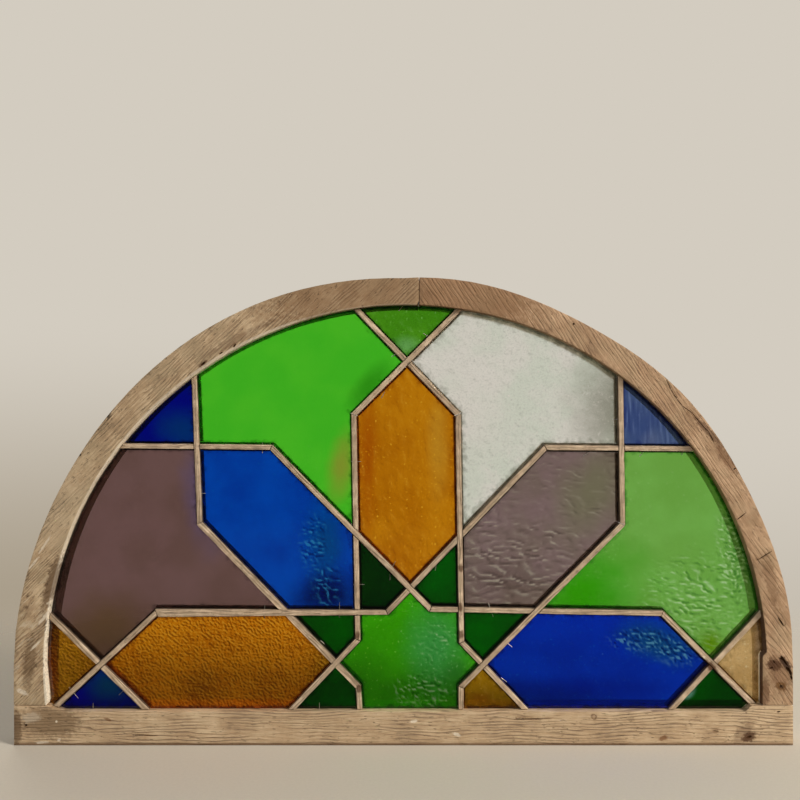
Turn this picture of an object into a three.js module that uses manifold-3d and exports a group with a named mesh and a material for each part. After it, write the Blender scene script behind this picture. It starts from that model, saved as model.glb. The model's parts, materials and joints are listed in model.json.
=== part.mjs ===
// A half-round stained glass window made by hand: a wooden arch in two sawn halves on a straight
// rail, wooden glazing bars that lay out an eight-pointed star ringed by long hexagons, and panes
// of coloured glass laid into their rebates from the front.
// Millimetres, +X right, +Z up, and the front looks towards -Y. The origin is at the middle of the
// rail's underside, halfway through the frame's depth.

import * as THREE from "three";
import { mergeVertices } from "three/addons/utils/BufferGeometryUtils.js";
import Module from "manifold-3d";

// Wooden frame
const overallWidth = 900;
const frameDepth = 34;
const archFaceWidth = 32.8;
const archFootHeight = 45.7;
const archBackTrim = 1.2;
const archJointShift = 18;
const archJointNotch = 6;
const archLip = 3.2;
const railHeight = 46;
const railCutDown = 7;
const railLip = 2.2;

// The arch's back was sawn by eye: short waves on the right half, one long swell on the left.
// Depths are in millimetres, places and wave lengths in degrees round the arch from its right foot.
const rightBackWave = { depth: 1.6, length: 36, lowest: 62 };
const leftBackWave = { depth: 2.4, length: 76, highest: 114 };
const leftEdgeSwell = { depth: 2.3, from: 95, to: 150 };
const arcStep = 2.5;

// The opening is sawn a little to the right, and its foot is uneven, as hand work left it
const openingShift = 2.3;
const leftFootSwell = 4;
const leftRampLength = 22;
const rightFootPad = 5;
const rightFootPadRise = 16;
const rightLedge = 12.5;
const rightRampLength = 8;

// Glass and glazing bars
const glassThickness = 3;
const glassSetBack = 9;
const glassClearance = 0.6;
const barWidth = 6.2;
const barSetBack = 5;
const barLip = 2.2;
const barFlangeDepth = 7.2;
const wedgeBarWide = 9.6;
const wedgeBarNarrow = 5.6;

// The star and the border that the hexagons' far points leave inside the arch
const starRadius = 85.8;
const starShift = 4;
const starRise = 1.1;
const hexagonBorder = 65.7;

const fitGap = 0.3;
// How far a shape that cuts or probes runs past what it cuts
const overcut = 1;

// Places that follow from the sizes above
const halfWidth = overallWidth / 2;
const openingRadius = halfWidth - archFaceWidth;
const archCentreZ = railHeight + archFootHeight;
const openingFloorZ = railHeight - railCutDown;
const frontY = -frameDepth / 2;
const backY = frameDepth / 2;
const glassFrontY = frontY + glassSetBack;
const glassBackY = glassFrontY + glassThickness;
const lipFrontY = glassBackY + fitGap;
const barFrontY = frontY + barSetBack;
const barBackY = lipFrontY + barFlangeDepth;
const starX = openingShift + starShift;
const starZ = archCentreZ + starRise;

// Wood and glass finishes
const woodColours = { arch: "#a5876e", rail: "#aa9173", bar: "#bea58c" };
const glassColours = {
  leaf_green: "#46a41e",
  light_green: "#69af46",
  bottle_green: "#003c00",
  blue: "#00378c",
  navy: "#00146e",
  slate_blue: "#324178",
  amber: "#a56400",
  purple: "#5a443e",
  mauve: "#735f5a",
  clear: "#bec1b4",
  straw: "#b99b5f",
};

const wasm = await Module();
wasm.setup();

// A closed geometry as a solid that can be joined and cut.
function solidFrom(geometry) {
  geometry.deleteAttribute("normal");
  geometry.deleteAttribute("uv");
  const merged = mergeVertices(geometry, 1e-4);
  const mesh = new wasm.Mesh({
    numProp: 3,
    vertProperties: merged.attributes.position.array,
    triVerts: new Uint32Array(merged.index.array),
  });
  return new wasm.Manifold(mesh);
}

// A solid's surface as a geometry with flat shading.
function geometryOf(solid) {
  const mesh = solid.getMesh();
  const geometry = new THREE.BufferGeometry();
  const places = new Float32Array(mesh.numVert * 3);
  for (let i = 0; i < mesh.numVert; i += 1) {
    places.set(mesh.vertProperties.subarray(i * mesh.numProp, i * mesh.numProp + 3), i * 3);
  }
  geometry.setAttribute("position", new THREE.BufferAttribute(places, 3));
  geometry.setIndex(new THREE.BufferAttribute(mesh.triVerts, 1));
  geometry.computeVertexNormals();
  return geometry;
}

// A front view outline, drawn in X and Z, as a slab between two depths.
function slab(outline, fromY, toY) {
  const geometry = new THREE.ExtrudeGeometry(outline, {
    depth: toY - fromY,
    bevelEnabled: false,
    curveSegments: 180 / arcStep / 2,
  });
  geometry.rotateX(Math.PI / 2);
  geometry.translate(0, toY, 0);
  return solidFrom(geometry);
}

function radians(degrees) {
  return THREE.MathUtils.degToRad(degrees);
}

function polar(degrees, radius) {
  return new THREE.Vector2(Math.cos(radians(degrees)), Math.sin(radians(degrees))).multiplyScalar(radius);
}

function joined(solids) {
  return solids.reduce((whole, piece) => whole.add(piece));
}

// How far the arch's sawn back wanders out or in, before and past the joint near the crown.
function backWander(degrees) {
  const pastJoint = halfWidth * Math.cos(radians(degrees)) < archJointShift;
  if (pastJoint) {
    const turns = (degrees - leftBackWave.highest) / leftBackWave.length;
    return leftBackWave.depth * Math.cos(radians(turns * 360));
  }
  const turns = (degrees - rightBackWave.lowest) / rightBackWave.length;
  return -rightBackWave.depth * Math.cos(radians(turns * 360));
}

// How far the left board's inner edge swells into the opening.
function edgeSwell(degrees) {
  const along = (degrees - leftEdgeSwell.from) / (leftEdgeSwell.to - leftEdgeSwell.from);
  return along > 0 && along < 1 ? leftEdgeSwell.depth * Math.sin(radians(along * 180)) : 0;
}

// The arch's outline from its feet over the top, with what it spans filled in.
function archOutline() {
  const outline = new THREE.Shape();
  outline.moveTo(-halfWidth, railHeight + fitGap);
  outline.lineTo(halfWidth, railHeight + fitGap);
  outline.lineTo(halfWidth, archCentreZ);
  for (let degrees = 2 * arcStep; degrees <= 180 - 2 * arcStep; degrees += arcStep) {
    const point = polar(degrees, halfWidth - archBackTrim + backWander(degrees));
    outline.lineTo(point.x, archCentreZ + point.y);
  }
  outline.lineTo(-halfWidth, archCentreZ);
  return outline;
}

// The opening seen from the front, drawn inside the wood by an inset.
function sightOpening(inset) {
  const radius = openingRadius - inset;
  const left = openingShift - radius;
  const right = openingShift + radius;
  const padAngle = THREE.MathUtils.radToDeg(Math.asin(rightFootPadRise / radius));
  const padTop = archCentreZ + rightFootPadRise - rightFootPad;
  const outline = new THREE.Shape();
  outline.moveTo(left + leftRampLength, openingFloorZ + inset);
  outline.lineTo(right - rightFootPad - rightLedge - rightRampLength, openingFloorZ + inset);
  outline.lineTo(right - rightFootPad - rightLedge, railHeight + inset);
  outline.lineTo(right - rightFootPad, railHeight + inset);
  outline.lineTo(right - rightFootPad, padTop);
  for (let degrees = padAngle; degrees < 180 - arcStep / 2; degrees += arcStep) {
    const point = polar(degrees, radius - edgeSwell(degrees));
    outline.lineTo(openingShift + point.x, archCentreZ + point.y);
  }
  outline.lineTo(left, archCentreZ);
  outline.lineTo(left + leftFootSwell, railHeight + rightFootPad + inset);
  outline.lineTo(left + leftFootSwell / 2, railHeight + inset);
  return outline;
}

// The smaller opening behind the glass, inside the lips that the glass lies against.
function lipOpening(inset) {
  const radius = openingRadius - archLip - inset;
  const outline = new THREE.Shape();
  outline.moveTo(openingShift - radius, openingFloorZ + railLip + inset);
  outline.lineTo(openingShift + radius, openingFloorZ + railLip + inset);
  outline.absarc(openingShift, archCentreZ, radius, 0, Math.PI, false);
  return outline;
}

// All that the frame leaves free: in front of the lips as wide as the sight opening, behind them less.
function frameOpening(inset, lipGap) {
  const front = slab(sightOpening(inset), frontY - overcut, lipFrontY - lipGap);
  const rear = slab(lipOpening(inset), glassFrontY, backY + overcut);
  return front.add(rear);
}

function rectangle(fromX, toX, fromZ, toZ) {
  const outline = new THREE.Shape();
  outline.moveTo(fromX, fromZ);
  outline.lineTo(toX, fromZ);
  outline.lineTo(toX, toZ);
  outline.lineTo(fromX, toZ);
  return outline;
}

// The arch is two boards butted a little right of the crown, with a nick below the joint.
function archHalves() {
  const arch = slab(archOutline(), frontY, backY).subtract(frameOpening(0, 0));
  const crownZ = archCentreZ + openingRadius;
  const nick = new THREE.Shape();
  nick.moveTo(archJointShift + overcut, crownZ - archJointNotch);
  nick.lineTo(archJointShift + overcut, crownZ + archJointNotch);
  nick.lineTo(archJointShift - archJointNotch, crownZ - archJointNotch);
  const topZ = archCentreZ + overallWidth;
  const leftSide = rectangle(-overallWidth, archJointShift - fitGap / 2, 0, topZ);
  const rightSide = rectangle(archJointShift + fitGap / 2, overallWidth, 0, topZ);
  const left = arch.intersect(slab(leftSide, frontY - overcut, backY + overcut));
  const right = arch.intersect(slab(rightSide, frontY - overcut, backY + overcut));
  return { left: left.subtract(slab(nick, frontY - overcut, glassFrontY)), right };
}

function bottomRail() {
  const rail = slab(rectangle(-halfWidth, halfWidth, 0, railHeight), frontY, backY);
  return rail.subtract(frameOpening(0, 0));
}

// Corners of the regular layout to the right of the star's centre; the left has their mirror image.
const starHalf = starRadius / Math.SQRT2;
const starInner = starHalf * Math.tan(radians(22.5));
const hexagonFar = openingRadius - hexagonBorder;
const hexagonSide = (hexagonFar - 2 * starHalf) / Math.SQRT2;
const corners = {
  topShoulder: [starHalf, hexagonFar - starHalf],
  starUpper: [starHalf, starInner],
  starLower: [starHalf, -starInner],
  starTop: [starInner, starHalf],
  upperShoulder: [hexagonSide, hexagonFar / Math.SQRT2],
  sideShoulder: [hexagonFar / Math.SQRT2, hexagonSide],
  levelShoulder: [hexagonFar - starHalf, starHalf],
  sidePoint: [hexagonFar, 0],
};

// A corner on one side of the star, moved by the few millimetres that the maker's hand left.
function cornerAt(name, side, nudge) {
  const [across, up] = corners[name];
  return new THREE.Vector2(starX + side * across + nudge[0], starZ + up + nudge[1]);
}

// A point outside the opening, reached from a corner in one direction; a left strap is mirrored.
function beyond(corner, degrees, side, lean) {
  const heading = side > 0 ? degrees : 180 - degrees;
  return corner.clone().add(polar(heading + lean, overallWidth));
}

// Each strap is one bent line of bars from the frame to the frame.
function strap(side, barNames, startHeading, turns, endHeading, leans) {
  const bends = turns.map(([name, half, nudge]) => cornerAt(name, side * half, nudge));
  const start = beyond(bends[0], startHeading, side, leans[0]);
  const end = beyond(bends[bends.length - 1], endHeading, side, leans[1]);
  return { barNames, points: [start, ...bends, end] };
}

function cornerStrap(side, barName, nudge, lean) {
  const middle = cornerAt("sidePoint", side, nudge);
  const start = beyond(middle, 225, side, lean);
  const end = beyond(middle, 45, side, lean);
  return { barNames: [barName], points: [start, end] };
}

const straps = [
  strap(
    1,
    ["bar_right_top_slant", "bar_right_star_upright", "bar_right_foot_slant"],
    135,
    [
      ["topShoulder", 1, [-3.6, -1.9]],
      ["starUpper", 1, [0.5, -0.8]],
    ],
    315,
    [-1.1, -1.4],
  ),
  strap(
    -1,
    ["bar_left_top_slant", "bar_left_star_upright", "bar_left_foot_slant"],
    135,
    [
      ["topShoulder", 1, [-3.3, -1.9]],
      ["starUpper", 1, [1.3, 2.1]],
    ],
    315,
    [-0.1, 1.4],
  ),
  strap(
    1,
    ["bar_right_shoulder_upright", "bar_right_long_slant", "bar_right_foot_upright"],
    90,
    [
      ["sideShoulder", 1, [-0.4, -1.1]],
      ["starLower", 1, [-0.1, -2.5]],
    ],
    270,
    [0.8, 0],
  ),
  strap(
    -1,
    ["bar_left_shoulder_upright", "bar_left_long_slant", "bar_left_foot_upright"],
    90,
    [
      ["sideShoulder", 1, [5.6, 0]],
      ["starLower", 1, [1.9, -1.9]],
    ],
    270,
    [2.2, 3.8],
  ),
  strap(
    1,
    ["bar_right_shoulder_level", "bar_right_star_slant", "bar_left_low_level", "bar_left_corner_rising"],
    0,
    [
      ["upperShoulder", 1, [-4, 2.2]],
      ["starTop", -1, [-0.4, -1.5]],
      ["levelShoulder", -1, [-2.6, -2.1]],
    ],
    225,
    [-0.5, -2.1],
  ),
  strap(
    -1,
    ["bar_left_shoulder_level", "bar_left_star_slant", "bar_right_low_level", "bar_right_corner_falling"],
    0,
    [
      ["upperShoulder", 1, [2.8, 2.4]],
      ["starTop", -1, [-0.2, 2.3]],
      ["levelShoulder", -1, [3.5, -2.5]],
    ],
    225,
    [-0.6, -0.1],
  ),
  cornerStrap(1, "bar_right_corner_rising", [-0.3, -3.5], 2.1),
  cornerStrap(-1, "bar_left_corner_falling", [-8.8, 0], 0.7),
];

// One bar was sawn as a wedge, wide at its second end; the others are parallel.
const barWidths = { bar_left_low_level: [wedgeBarNarrow, wedgeBarWide] };

// At each crossing the first bar runs on in front and the second is halved behind it.
const crossings = [
  ["bar_left_top_slant", "bar_right_top_slant"],
  ["bar_left_shoulder_upright", "bar_left_shoulder_level"],
  ["bar_left_star_slant", "bar_left_star_upright"],
  ["bar_left_star_slant", "bar_right_star_slant"],
  ["bar_right_star_upright", "bar_right_star_slant"],
  ["bar_left_low_level", "bar_left_long_slant"],
  ["bar_left_low_level", "bar_left_star_upright"],
  ["bar_left_foot_slant", "bar_left_long_slant"],
  ["bar_right_star_upright", "bar_right_low_level"],
  ["bar_right_long_slant", "bar_right_low_level"],
  ["bar_right_long_slant", "bar_right_foot_slant"],
  ["bar_right_shoulder_upright", "bar_right_shoulder_level"],
  ["bar_left_corner_rising", "bar_left_corner_falling"],
  ["bar_right_corner_falling", "bar_right_corner_rising"],
];

function leftOf(direction) {
  return new THREE.Vector2(-direction.y, direction.x);
}

// A bar end's two corners: square at a free end, mitred against the next bar at a bend.
function endCorners(point, along, neighbour, halfBar, setBack) {
  const normal = leftOf(along);
  const mitre = neighbour ? normal.clone().add(leftOf(neighbour)).normalize() : normal;
  const stretch = halfBar / mitre.dot(normal);
  const back = setBack / Math.abs(mitre.cross(along));
  const middle = point.clone().addScaledVector(along, back);
  return [1, -1].map((hand) => middle.clone().addScaledVector(mitre, hand * stretch));
}

// A bar's outline in front view, wider by grow on each side, its mitres drawn back by setBack.
function barOutline(bar, grow, setBack) {
  const along = bar.end.clone().sub(bar.start).normalize();
  const startHalf = bar.widths[0] / 2 + grow;
  const endHalf = bar.widths[1] / 2 + grow;
  const first = endCorners(bar.start, along, bar.before, startHalf, setBack);
  const second = endCorners(bar.end, along, bar.after, endHalf, -setBack);
  return new THREE.Shape([first[1], second[1], second[0], first[0]]);
}

function barsOf({ barNames, points }) {
  const headings = barNames.map((name, i) => points[i + 1].clone().sub(points[i]).normalize());
  return barNames.map((name, i) => ({
    name,
    start: points[i],
    end: points[i + 1],
    before: headings[i - 1],
    after: headings[i + 1],
    widths: barWidths[name] ?? [barWidth, barWidth],
  }));
}

// A bar is a tee: a narrow stem that shows in front and a wider flange behind that carries the glass.
function barBody(bar) {
  const stem = slab(barOutline(bar, 0, fitGap / 2), barFrontY, (lipFrontY + barBackY) / 2);
  const flange = slab(barOutline(bar, barLip, fitGap / 2), lipFrontY, barBackY);
  return stem.add(flange);
}

// Crossing bars are halved where the stems meet the flanges.
function halvedBody(bar, bars) {
  const pastFront = barFrontY - overcut;
  const pastBack = barBackY + overcut;
  const find = (name) => bars.find((other) => other.name === name);
  let body = barBody(bar);
  for (const [over, under] of crossings) {
    if (over === bar.name) {
      const flange = barOutline(find(under), barLip + fitGap, fitGap / 2);
      body = body.subtract(slab(flange, lipFrontY - fitGap / 2, pastBack));
    }
    if (under === bar.name) {
      const stem = barOutline(find(over), fitGap, fitGap / 2);
      body = body.subtract(slab(stem, pastFront, lipFrontY + fitGap / 2));
    }
  }
  return body;
}

// Panes by their place around the star: an angle, a distance from its centre and a glass.
const middleOfHexagon = 0.65 * hexagonFar;
const middleOfField = 0.8 * hexagonFar;
const middleOfKite = (starHalf * (1 / Math.cos(radians(22.5)) + 1 / Math.sin(radians(22.5)))) / 2;
const middleOfBorder = hexagonFar + hexagonBorder / 2;
const lowTriangleDrop = (starZ - openingFloorZ) / 2;
const lowTriangle = Math.hypot(hexagonFar, lowTriangleDrop);
const lowTriangleTurn = THREE.MathUtils.radToDeg(Math.atan2(lowTriangleDrop, hexagonFar));
const panes = [
  ["pane_top_triangle", 90, middleOfBorder, "leaf_green"],
  ["pane_upper_left_field", 112.5, middleOfField, "leaf_green"],
  ["pane_upper_right_field", 67.5, middleOfField, "clear"],
  ["pane_left_shoulder", 135, middleOfBorder, "navy"],
  ["pane_right_shoulder", 45, middleOfBorder, "slate_blue"],
  ["pane_top_hexagon", 90, middleOfHexagon, "amber"],
  ["pane_upper_left_hexagon", 135, middleOfHexagon, "blue"],
  ["pane_upper_right_hexagon", 45, middleOfHexagon, "mauve"],
  ["pane_lower_left_field", 157.5, middleOfField, "purple"],
  ["pane_lower_right_field", 22.5, middleOfField, "light_green"],
  ["pane_left_upper_kite", 112.5, middleOfKite, "bottle_green"],
  ["pane_right_upper_kite", 67.5, middleOfKite, "bottle_green"],
  ["pane_left_side_kite", 157.5, middleOfKite, "bottle_green"],
  ["pane_right_side_kite", 22.5, middleOfKite, "bottle_green"],
  ["pane_left_lower_kite", 202.5, middleOfKite, "bottle_green"],
  ["pane_right_lower_kite", -22.5, middleOfKite, "amber"],
  ["pane_half_star", 90, 0, "leaf_green"],
  ["pane_left_hexagon", 180, middleOfHexagon, "amber"],
  ["pane_right_hexagon", 0, middleOfHexagon, "blue"],
  ["pane_left_corner", 180, middleOfBorder, "amber"],
  ["pane_right_corner", 0, middleOfBorder, "straw"],
  ["pane_left_low_triangle", 180 + lowTriangleTurn, lowTriangle, "navy"],
  ["pane_right_low_triangle", -lowTriangleTurn, lowTriangle, "bottle_green"],
];

// All the glass is cut from one sheet's outline by the stems, with a clearance round every pane.
function cutGlass(bars) {
  const sheet = slab(sightOpening(glassClearance), glassFrontY, glassBackY);
  const stems = bars.map((bar) => slab(barOutline(bar, glassClearance, -fitGap), frontY, backY));
  return sheet.subtract(joined(stems)).decompose();
}

function paneAt(pieces, degrees, distance) {
  const spot = polar(degrees, distance).add(new THREE.Vector2(starX, starZ));
  const outline = rectangle(spot.x - overcut, spot.x + overcut, spot.y - overcut, spot.y + overcut);
  const probe = slab(outline, frontY, backY);
  return pieces.find((piece) => piece.intersect(probe).volume() > 0);
}

function meshOf(name, solid, material) {
  const mesh = new THREE.Mesh(geometryOf(solid), material);
  mesh.name = name;
  return mesh;
}

function wood(colour) {
  return new THREE.MeshStandardMaterial({ color: colour, roughness: 0.75, metalness: 0 });
}

function glass(colour) {
  return new THREE.MeshStandardMaterial({
    color: colour,
    roughness: 0.08,
    metalness: 0,
    transparent: true,
    opacity: 0.7,
  });
}

const stainedGlassWindow = new THREE.Group();

const halves = archHalves();
stainedGlassWindow.add(meshOf("arch_left", halves.left, wood(woodColours.arch)));
stainedGlassWindow.add(meshOf("arch_right", halves.right, wood(woodColours.arch)));
stainedGlassWindow.add(meshOf("bottom_rail", bottomRail(), wood(woodColours.rail)));

const bars = straps.flatMap(barsOf);
const roomForBars = frameOpening(fitGap, fitGap);
for (const bar of bars) {
  const body = halvedBody(bar, bars).intersect(roomForBars);
  stainedGlassWindow.add(meshOf(bar.name, body, wood(woodColours.bar)));
}

const pieces = cutGlass(bars);
for (const [name, degrees, distance, colour] of panes) {
  stainedGlassWindow.add(meshOf(name, paneAt(pieces, degrees, distance), glass(glassColours[colour])));
}

export default stainedGlassWindow;
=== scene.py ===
# A half-round stained glass window: a sawn wooden arch on a straight rail, wooden glazing bars laid
# out round an eight-pointed star, and panes of coloured glass held in front by small steel sprigs.
# Metres, in the frame's axes: +X right, +Z up, and the front looks towards -Y.

import json
import math
import bmesh
import bpy
from mathutils import Matrix, Vector, kdtree, noise


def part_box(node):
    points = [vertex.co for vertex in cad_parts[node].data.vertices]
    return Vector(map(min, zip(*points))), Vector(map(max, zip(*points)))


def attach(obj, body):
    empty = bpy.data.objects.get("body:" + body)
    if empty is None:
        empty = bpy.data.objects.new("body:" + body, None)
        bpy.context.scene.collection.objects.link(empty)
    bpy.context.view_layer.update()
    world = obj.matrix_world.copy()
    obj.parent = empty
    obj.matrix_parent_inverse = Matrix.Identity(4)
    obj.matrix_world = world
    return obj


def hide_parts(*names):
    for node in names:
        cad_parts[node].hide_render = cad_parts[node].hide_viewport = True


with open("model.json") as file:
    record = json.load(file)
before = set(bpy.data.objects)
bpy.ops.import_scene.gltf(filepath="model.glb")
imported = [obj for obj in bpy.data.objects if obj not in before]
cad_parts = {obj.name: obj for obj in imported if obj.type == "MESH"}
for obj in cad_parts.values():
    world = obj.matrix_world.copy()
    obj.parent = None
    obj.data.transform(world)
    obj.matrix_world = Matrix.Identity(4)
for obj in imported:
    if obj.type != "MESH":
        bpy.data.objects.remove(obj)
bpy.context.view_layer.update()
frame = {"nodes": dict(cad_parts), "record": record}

# The camera stands straight in front of the window, a little under a metre away, level with the
# middle of its height, and looks along +Y.
camera_place = Vector((-0.00404, -0.941, 0.3987))
front_face_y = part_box("arch_left")[0].y
half_view_at_front = 0.4616
camera_data = bpy.data.cameras.new("front_camera")
camera_data.sensor_width = 36
camera_data.lens = camera_data.sensor_width / 2 * (front_face_y - camera_place.y) / half_view_at_front
camera = bpy.data.objects.new("front_camera", camera_data)
camera.matrix_world = Matrix.Translation(camera_place) @ Matrix.Rotation(math.pi / 2, 4, "X")
bpy.context.scene.collection.objects.link(camera)
bpy.context.scene.camera = camera


# Studio. A pale floor fades out into a pale backdrop, which lights the glass from behind as a wall
# does, is shaded low down and on the left, and is mirrored only dimly. A large soft lamp stands to
# the right in front, with weaker ones above it and behind the window.


class Signal:
    """One output of a node. Sums, differences and products of it add Math nodes."""

    def __init__(self, finish, socket):
        self.finish = finish
        self.socket = socket

    def __add__(self, other):
        return self.finish.maths("ADD", self, other)

    def __radd__(self, other):
        return self.finish.maths("ADD", other, self)

    def __sub__(self, other):
        return self.finish.maths("SUBTRACT", self, other)

    def __rsub__(self, other):
        return self.finish.maths("SUBTRACT", other, self)

    def __mul__(self, other):
        return self.finish.maths("MULTIPLY", self, other)

    def __rmul__(self, other):
        return self.finish.maths("MULTIPLY", other, self)


class Finish:
    """A material, or the backdrop's shader, with one way to add any node to it."""

    def __init__(self, name, constants=None, tree=None):
        if tree is None:
            self.material = bpy.data.materials.new(name)
            self.material.use_nodes = True
            tree = self.material.node_tree
        self.tree = tree
        if constants is not None:
            self.shader = tree.nodes["Principled BSDF"]
            for socket, value in constants.items():
                self.shader.inputs[socket].default_value = value
            self.place = self.node("ShaderNodeTexCoord", output="Object")

    def feed(self, socket, value):
        if isinstance(value, Signal):
            self.tree.links.new(value.socket, socket)
        else:
            socket.default_value = value

    def node(self, kind, settings=None, sockets=None, output=0):
        made = self.tree.nodes.new(kind)
        for name, value in (settings or {}).items():
            if name == "stops":
                while len(made.color_ramp.elements) < len(value):
                    made.color_ramp.elements.new(0.5)
                for element, (position, colour) in zip(made.color_ramp.elements, value):
                    element.position = position
                    element.color = colour
            else:
                setattr(made, name, value)
        for name, value in (sockets or {}).items():
            self.feed(made.inputs[name], value)
        return Signal(self, made.outputs[output])

    def part(self, vector, axis):
        return self.node("ShaderNodeSeparateXYZ", None, {0: vector}, axis)

    def maths(self, operation, first, second=0.0):
        return self.node("ShaderNodeMath", {"operation": operation}, {0: first, 1: second})

    def blend(self, factor, first, second):
        """Goes from the first colour to the second as the factor goes from 0 to 1."""
        return self.node("ShaderNodeMix", {"data_type": "RGBA"}, {0: factor, 6: first, 7: second}, 2)

    def fade(self, signal, start, end):
        """Rises smoothly from 0 to 1 while the signal goes from start to end."""
        settings = {"interpolation_type": "SMOOTHSTEP"}
        return self.node("ShaderNodeMapRange", settings, {"Value": signal, 1: start, 2: end})

    def stretched(self, vector, factors):
        settings = {"operation": "MULTIPLY"}
        return self.node("ShaderNodeVectorMath", settings, {0: vector, 1: factors})

    def noise(self, vector, scale, detail=3.0, roughness=0.55, distortion=0.0):
        sockets = {"Vector": vector, "Scale": scale, "Detail": detail}
        sockets.update({"Roughness": roughness, "Distortion": distortion})
        return self.node("ShaderNodeTexNoise", None, sockets)

    def spot(self, centre, radii, turn=0.0, ragged=0.3, soft=0.6, grit=90.0):
        """1 inside a ragged oval in front view, 0 outside; places and radii in millimetres."""
        local = self.node(
            "ShaderNodeMapping",
            {"vector_type": "TEXTURE"},
            {
                "Vector": self.place,
                "Location": (centre[0] / 1000, 0, centre[1] / 1000),
                "Rotation": (0, -math.radians(turn), 0),
                "Scale": (radii[0] / 1000, 1000, radii[1] / 1000),
            },
        )
        away = self.node("ShaderNodeVectorMath", {"operation": "LENGTH"}, {0: local}, "Value")
        wobble = self.noise(self.place, grit, 2.0)
        return self.fade(away + (wobble - 0.5) * (2 * ragged), 1.0, 1.0 - soft)

    def relief(self, height, depth):
        """Lifts the surface by up to a depth in metres where the height signal is 1."""
        bump = self.node("ShaderNodeBump", None, {"Height": height, "Distance": depth})
        self.feed(self.shader.inputs["Normal"], bump)


def paint(red, green, blue):
    """A colour as a screen shows it, 0 to 255, as the light values that shaders use."""
    shares = [value / 255 for value in (red, green, blue)]
    lights = [s / 12.92 if s <= 0.04045 else ((s + 0.055) / 1.055) ** 2.4 for s in shares]
    return (*lights, 1.0)


backdrop_colour = paint(211, 204, 192)
shadow_colour = paint(168, 156, 137)
ambient_share = 0.24
wall_share = 0.8
mirrored_share = 0.05
low_shade_share = 0.5
world = bpy.data.worlds.new("pale_backdrop")
world.use_nodes = True
bpy.context.scene.world = world
backdrop = Finish("pale_backdrop", tree=world.node_tree)
seen_straight = backdrop.node("ShaderNodeLightPath", output="Is Camera Ray")
seen_through_glass = backdrop.node("ShaderNodeLightPath", output="Is Transmission Ray")
seen = backdrop.maths("MAXIMUM", seen_straight, seen_through_glass)
mirrored = backdrop.node("ShaderNodeLightPath", output="Is Glossy Ray")
heading = backdrop.node("ShaderNodeTexCoord", output="Generated")
heading_right = backdrop.part(heading, "X")
heading_back = backdrop.part(heading, "Y")
heading_up = backdrop.part(heading, "Z")
ambient = ambient_share + (wall_share - ambient_share) * backdrop.fade(heading_back, 0.0, 0.6)
unseen = ambient + (mirrored_share - ambient) * mirrored
left_shadow = backdrop.fade(heading_right, 0.02, -0.34) * backdrop.fade(heading_up, 0.1, -0.24)
low_shade = backdrop.fade(heading_up, 0.0, -0.36) * low_shade_share
shaded = backdrop.maths("MAXIMUM", left_shadow, low_shade) * seen_straight
backdrop_node = world.node_tree.nodes["Background"]
backdrop_tone = backdrop.blend(shaded, backdrop_colour, shadow_colour)
backdrop.feed(backdrop_node.inputs["Color"], backdrop_tone)
backdrop.feed(backdrop_node.inputs["Strength"], backdrop.maths("MAXIMUM", seen, unseen))
bpy.context.scene.view_settings.view_transform = "Standard"

floor_reach = 2.4
floor_middle = (0, -0.55, 0)
floor_fade_start = 0.75
floor_fade_end = 1.5
floor_mesh = bmesh.new()
bmesh.ops.create_circle(floor_mesh, cap_ends=True, segments=96, radius=floor_reach)
floor_data = bpy.data.meshes.new("studio_floor")
floor_mesh.to_mesh(floor_data)
floor_mesh.free()
floor_finish = Finish("floor_paint", {"Roughness": 0.85, "Specular IOR Level": 0.2})
floor_grain = floor_finish.noise(floor_finish.place, 300.0)
floor_tone = floor_finish.blend(floor_grain, paint(198, 191, 178), paint(208, 201, 188))
floor_finish.feed(floor_finish.shader.inputs["Base Color"], floor_tone)
away = floor_finish.node(
    "ShaderNodeVectorMath", {"operation": "DISTANCE"}, {0: floor_finish.place, 1: floor_middle}, "Value"
)
seen_mirrored = floor_finish.node("ShaderNodeLightPath", output="Is Glossy Ray")
passed_through = floor_finish.node("ShaderNodeLightPath", output="Is Transmission Ray")
dimmed = seen_mirrored * (1 - passed_through) * (1 - mirrored_share)
floor_edge = floor_finish.fade(away, floor_fade_end, floor_fade_start)
floor_finish.feed(floor_finish.shader.inputs["Alpha"], floor_edge * (1 - dimmed))
floor_data.materials.append(floor_finish.material)
floor = bpy.data.objects.new("studio_floor", floor_data)
bpy.context.scene.collection.objects.link(floor)


def hang_lamp(name, place, target, size, power, colour):
    """A square soft lamp that shines from its place at its target."""
    data = bpy.data.lights.new(name, "AREA")
    data.size = size
    data.energy = power
    data.color = colour[:3]
    lamp = bpy.data.objects.new(name, data)
    aim = (Vector(target) - Vector(place)).to_track_quat("-Z", "Y")
    lamp.matrix_world = Matrix.Translation(place) @ aim.to_matrix().to_4x4()
    bpy.context.scene.collection.objects.link(lamp)


hang_lamp("right_lamp", (3.8, -1.9, 2.3), (0, 0, 0.25), 1.4, 250, paint(255, 248, 238))
hang_lamp("top_lamp", (-0.8, -1.9, 2.4), (0, 0, 0.2), 1.6, 16, paint(246, 248, 255))
hang_lamp("rear_lamp", (-1.6, 2.4, 1.8), (0, 0, 0.25), 1.6, 18, paint(255, 250, 242))


# Arch. Two boards of weathered softwood, sawn to the curve by hand and butted a little right of
# the crown. The left board's grain climbs to the right and the right board's falls; the left foot
# is rubbed pale, and the right board keeps old nail holes, gouges and a long drying crack.


def clean_copy(node):
    """A node's solid with its loose triangles joined and its flat faces made whole."""
    same_place = 1e-5
    flat = math.radians(0.3)
    shape = bmesh.new()
    shape.from_mesh(frame["nodes"][node].data)
    bmesh.ops.remove_doubles(shape, verts=shape.verts, dist=same_place)
    bmesh.ops.dissolve_limit(shape, angle_limit=flat, verts=shape.verts, edges=shape.edges)
    return shape


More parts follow.
